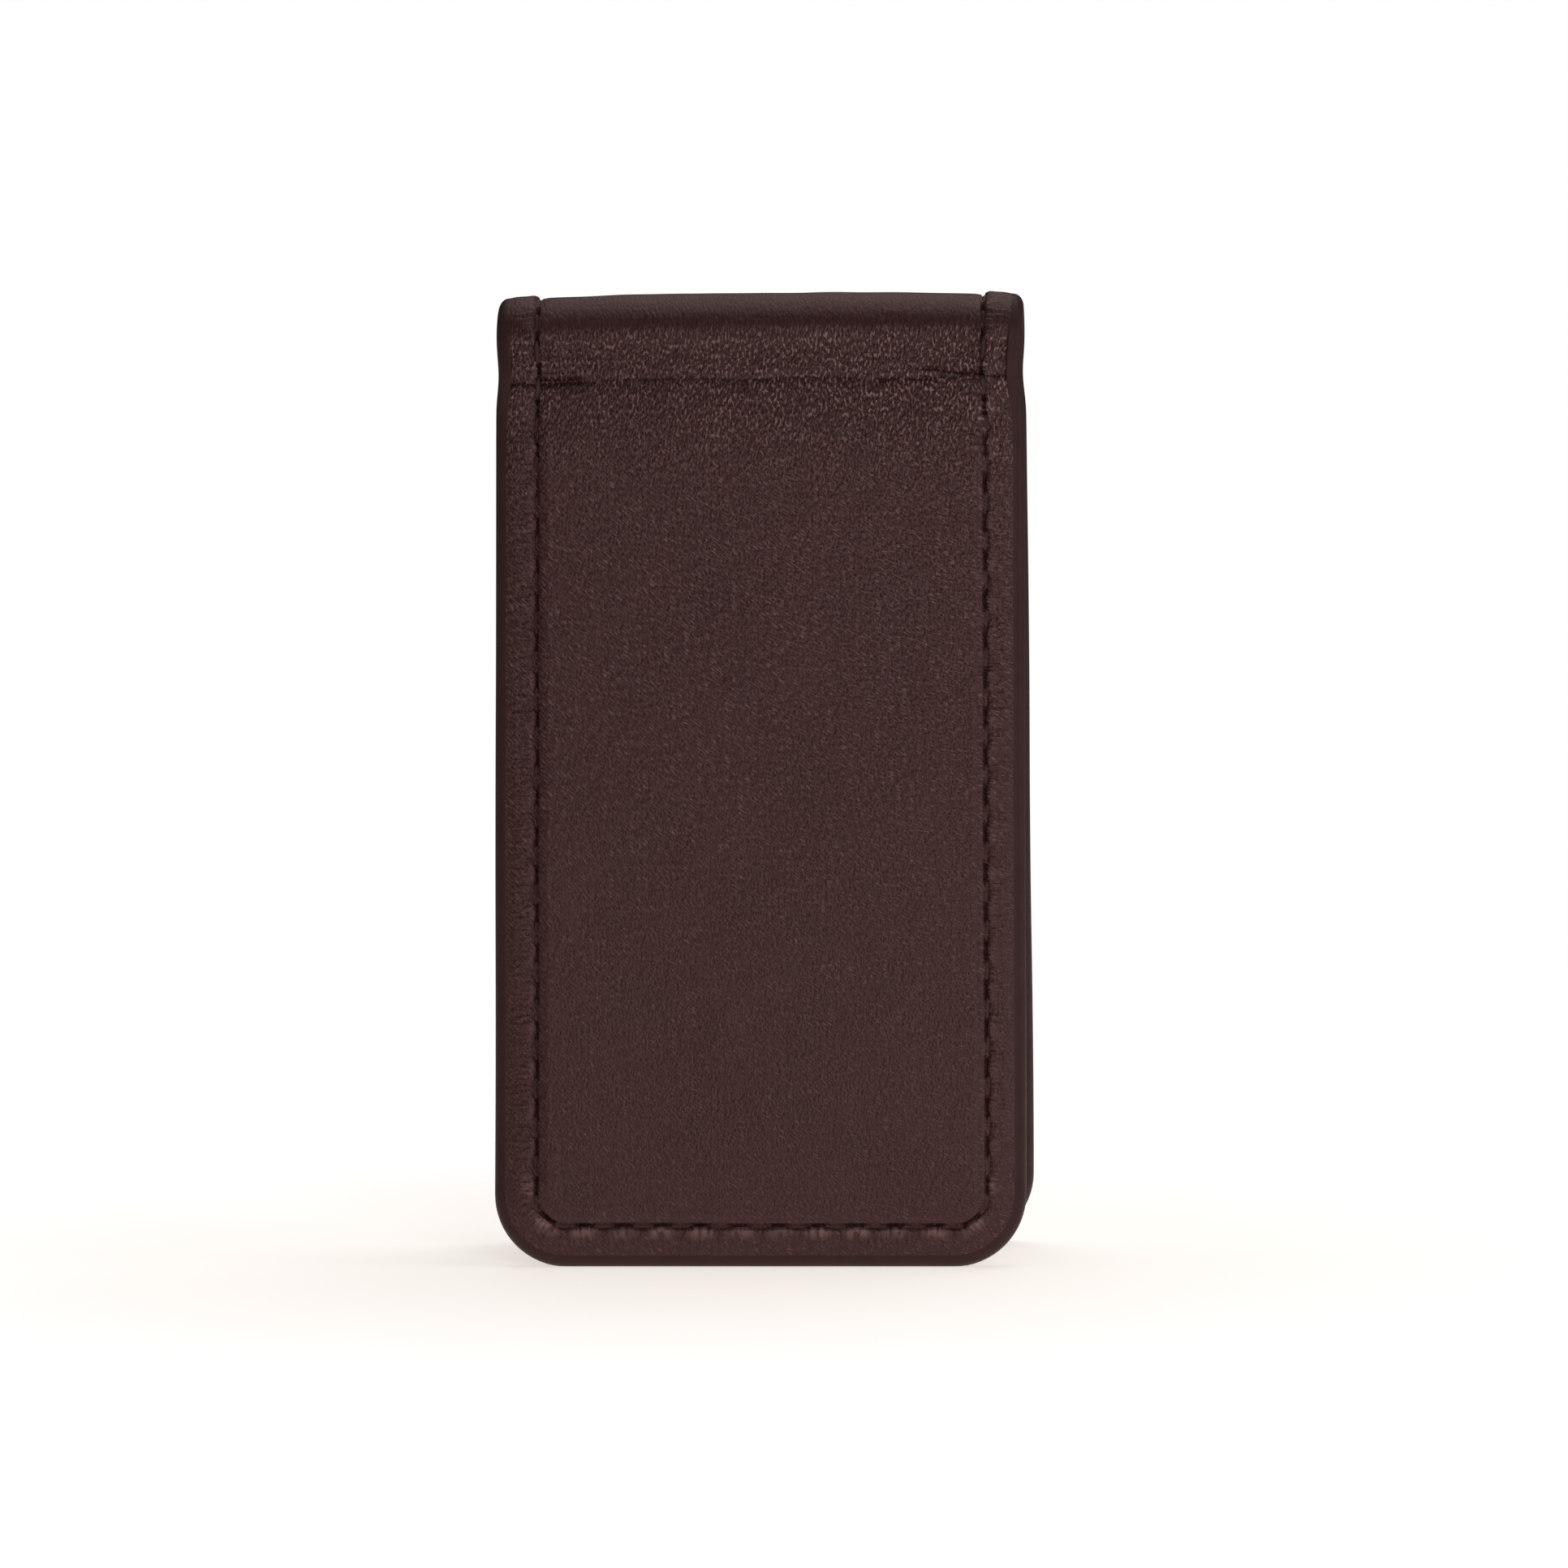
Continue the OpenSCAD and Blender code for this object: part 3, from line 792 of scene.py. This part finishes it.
def lining_leather():
    """Plain smooth leather, a little lighter and drier than the outer one."""
    g = Graph("lining_leather")
    x, run = g.places("Grain")
    pores = g.cells(g.times(x, 4.2), g.times(run, 4.2))
    fine = g.cloud(g.times(x, 3.0), g.times(run, 3.0), 3.0)
    flow = g.cloud(g.times(x, 0.11), g.times(run, 0.14), 3.0)
    shade = g.mix(flow, tone(0.044, 0.0225, 0.0205), tone(0.070, 0.0375, 0.034))
    shade = g.mix(g.step(pores, 0.12, 0.0, 0.0, 0.35), shade, tone(0.022, 0.011, 0.010))
    height = g.plus(g.times(g.step(pores, 0.0, 0.2), 0.006), g.times(fine, 0.012))
    rough = g.plus(0.5, g.times(fine, 0.15))
    return g.finish(shade, rough, height, Specular_IOR_Level=0.3, Specular_Tint=RED_SHEEN)


def edge_paint():
    """Thick satin paint, a little uneven."""
    g = Graph("edge_paint")
    along, around = g.places("Grain")
    uneven = g.cloud(g.times(along, 0.55), g.times(around, 0.5), 2.0)
    fine = g.cloud(g.times(along, 4.0), g.times(around, 4.0), 2.0)
    shade = g.mix(uneven, tone(0.029, 0.0135, 0.0128), tone(0.043, 0.0195, 0.0185))
    height = g.plus(g.times(uneven, 0.05), g.times(fine, 0.006))
    return g.finish(shade, g.plus(0.46, g.times(fine, 0.12)), height, Specular_IOR_Level=0.18,
                    Specular_Tint=RED_SHEEN)


def thread():
    """Waxed twisted thread."""
    g = Graph("thread")
    along, around = g.places("Grain")
    fibres = g.cloud(g.times(g.plus(along, around), 9.0),
                     g.times(g.plus(around, g.times(along, -0.9)), 16.0), 2.0)
    dye = g.cloud(g.times(along, 0.5), 0.0, 1.0)
    shade = g.mix(dye, tone(0.028, 0.0115, 0.0108), tone(0.044, 0.0185, 0.0174))
    shade = g.mix(g.step(fibres, 0.45, 0.25, 0.0, 0.5), shade, tone(0.020, 0.0085, 0.0080))
    return g.finish(shade, g.plus(0.40, g.times(fibres, 0.15)), g.times(fibres, 0.02),
                    Specular_IOR_Level=0.3, Specular_Tint=RED_SHEEN, Sheen_Weight=0.03,
                    Sheen_Roughness=0.4)


def stiffener_board():
    """Grey-brown fibre board."""
    g = Graph("stiffener_board")
    x, _, z = g.object_places()
    x, z = g.times(x, 1 / MM), g.times(z, 1 / MM)
    fibres = g.cloud(g.times(x, 1.2), g.times(z, 5.0), 4.0, 0.6)
    flecks = g.cells(g.times(x, 1.1), g.times(z, 1.4), "F1")
    shade = g.mix(fibres, tone(0.22, 0.185, 0.145), tone(0.36, 0.31, 0.25))
    shade = g.mix(g.step(flecks, 0.12, 0.04, 0.0, 0.6), shade, tone(0.12, 0.09, 0.07))
    return g.finish(shade, g.plus(0.7, g.times(fibres, 0.2)), g.times(fibres, 0.03))


def magnet_nickel():
    """Nickel plate with faint turning marks."""
    g = Graph("magnet_nickel")
    x, _, z = g.object_places()
    x, z = g.times(x, 1 / MM), g.times(z, 1 / MM)
    marks = g.cloud(g.times(x, 0.4), g.times(z, 12.0), 2.0)
    stain = g.cloud(g.times(x, 0.5), g.times(z, 0.5), 2.0)
    shade = g.mix(stain, tone(0.56, 0.55, 0.53), tone(0.66, 0.65, 0.64))
    return g.finish(shade, g.plus(0.2, g.times(marks, 0.15)), g.times(marks, 0.002),
                    Metallic=1.0)


def floor_material():
    """A plain pale floor with a trace of tooth. It glows, white further off so that it meets the
    white background, and warmer and a little dimmer by the clip as painted warm shade of the
    clip."""
    g = Graph("pale_floor")
    x, y, _ = g.object_places()
    tooth = g.cloud(g.times(x, 900), g.times(y, 900), 2.0)
    shade = g.mix(tooth, tone(0.86, 0.85, 0.84), tone(0.89, 0.88, 0.87))
    away = g.math("SQRT", g.plus(g.times(x, x), g.times(y, y)))
    # Painted shade: the glow is warm and a little dimmer near the clip
    glow = g.mix(g.step(away, 0.03, 0.11), tone(1, 0.93, 0.87), tone(1.08, 1.08, 1.08))
    g.feed(g.shader.inputs["Emission Color"], glow)
    return g.finish(shade, 0.8, None, Specular_IOR_Level=0.2, Emission_Strength=0.645)


# ---- the pieces --------------------------------------------------------------------------

# Where the lines of the skins' meshes run: closest beside the seam and at the crease
FACE_LINES = steps((0.85, 1.3, 0.09), (1.3, 2.6, 0.14), (2.6, 2.85, 0.07), (2.85, 3.55, 0.045),
                   (3.55, 4.3, 0.09), (4.3, CORNER_R, 0.22))
BACK_LINES = np.array([0.85, 3.3, BORDER_W, BORDER_W + 0.6, CORNER_R])
OUTER_RISE = steps((CORNER_R, 64, 0.25), (64, 68.1, 0.2), (68.1, 69.9, 0.09),
                   (69.9, FOLD_Z, 0.2), (FOLD_Z, APEX, 0.15))
LINING_RISE = steps((CORNER_R, 66, 0.3), (66, APEX, 0.2))
OUTER_COLUMNS, OUTER_CORNER = steps((-CORNER_X, CORNER_X, 0.3)), 26
LINING_COLUMNS, LINING_CORNER = steps((-CORNER_X, CORNER_X, 0.8)), 22

outer_net = layer_net(OUTER_RISE, OUTER_COLUMNS, OUTER_CORNER, FACE_LINES, BACK_LINES)
lining_net = layer_net(LINING_RISE, LINING_COLUMNS, LINING_CORNER, FACE_LINES, BACK_LINES)
paints = {
    "outer_leather": outer_leather(),
    "lining_leather": lining_leather(),
    "edge_paint": edge_paint(),
    "thread": thread(),
}


def place_piece(piece, side, slot, layer):
    """Gives a piece the material of its slot, hides the CAD parts that it stands in for, and
    bakes its placing into its mesh.
    """
    piece.data.materials.append(paints[slot])
    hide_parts(f"{side}_{layer}", f"fold_{layer}")
    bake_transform(piece)


for side in ("front", "back"):
    place_piece(leather_layer(f"{side}_outer_leather_skin", side, outer_face, outer_back,
                              outer_net), side, "outer_leather", "outer_leather")
    place_piece(leather_layer(f"{side}_lining_skin", side, lining_face, lining_back,
                              lining_net), side, "lining_leather", "lining")
    place_piece(edge_bead(f"{side}_edge_bead", side), side, "edge_paint", "edge_paint")
    place_piece(thread_piece(f"{side}_needle_stitches", side, 1, NEEDLE_SEEDS[side]), side,
                "thread", "needle_thread")
    place_piece(thread_piece(f"{side}_bobbin_stitches", side, -1, BOBBIN_SEEDS[side]), side,
                "thread", "bobbin_thread")

# The boards and magnets stay as the CAD's own solids
plain_paints = {"stiffener": stiffener_board(), "magnet": magnet_nickel()}
for name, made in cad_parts.items():
    if not made.hide_render:
        kind = name.split("_")[-1]
        made.data.materials.clear()
        made.data.materials.append(plain_paints[kind])


# ---- floor, light and camera -------------------------------------------------------------

def make_floor():
    """A round floor, in metres."""
    radius, sides = 0.30, 96
    mesh = bpy.data.meshes.new("floor")
    rim = [(radius * math.cos(a), radius * math.sin(a), 0.0)
           for a in np.linspace(0, 2 * math.pi, sides, endpoint=False)]
    mesh.from_pydata(rim, [], [list(range(len(rim)))])
    made = bpy.data.objects.new("floor", mesh)
    bpy.context.scene.collection.objects.link(made)
    mesh.materials.append(floor_material())


def make_world(seen, felt):
    """White to the camera, and dimmer as a light."""
    world = bpy.data.worlds.new("studio")
    bpy.context.scene.world = world
    world.use_nodes = True
    tree = world.node_tree
    back = tree.nodes["Background"]
    back.inputs["Color"].default_value = (felt, felt, felt, 1)
    white = tree.nodes.new("ShaderNodeBackground")
    white.inputs["Color"].default_value = (seen, seen, seen, 1)
    path = tree.nodes.new("ShaderNodeLightPath")
    either = tree.nodes.new("ShaderNodeMixShader")
    tree.links.new(path.outputs["Is Camera Ray"], either.inputs[0])
    tree.links.new(back.outputs[0], either.inputs[1])
    tree.links.new(white.outputs[0], either.inputs[2])
    tree.links.new(either.outputs[0], tree.nodes["World Output"].inputs["Surface"])


def soft_light(name, at, target, size, power):
    """A square soft light, placed and aimed in metres."""
    data = bpy.data.lights.new(name, "AREA")
    data.size = size
    data.energy = power
    made = bpy.data.objects.new(name, data)
    made.location = at
    made.rotation_euler = (Vector(target) - Vector(at)).to_track_quat("-Z", "Y").to_euler()
    bpy.context.scene.collection.objects.link(made)


def make_camera():
    """A long lens, a little above the clip's middle and to its right, and turned a little."""
    azimuth, elevation, roll = (math.radians(a) for a in (4.04, 2.49, -0.45))
    distance, aim = 547.7, Vector((0, 0, 37.4))
    pan, sink = 1.51, 0.67
    back = Vector((math.sin(azimuth) * math.cos(elevation),
                   -math.cos(azimuth) * math.cos(elevation), math.sin(elevation)))
    right = Vector((0, 0, 1)).cross(back).normalized()
    up = back.cross(right)
    right, up = (right * math.cos(roll) + up * math.sin(roll),
                 up * math.cos(roll) - right * math.sin(roll))
    at = aim + back * distance + right * pan - up * sink
    data = bpy.data.cameras.new("camera")
    data.sensor_width = 36
    data.lens = 161.4
    data.clip_start, data.clip_end = 0.01, 20
    made = bpy.data.objects.new("camera", data)
    made.matrix_world = Matrix(((right.x, up.x, back.x, at.x * MM),
                                (right.y, up.y, back.y, at.y * MM),
                                (right.z, up.z, back.z, at.z * MM), (0, 0, 0, 1)))
    bpy.context.scene.collection.objects.link(made)
    bpy.context.scene.camera = made


make_floor()
make_world(1.0, 0.08)
soft_light("overhead", (0.06, 0.20, 0.60), (0, 0.02, 0), 0.6, 1.55)
soft_light("front_right", (0.25, -0.83, 0.27), (0, 0, 0.04), 0.3, 1.95)
soft_light("right", (0.70, -0.13, 0.16), (0, 0, 0.04), 0.25, 0.7)
make_camera()
bpy.context.scene.view_settings.view_transform = "Standard"
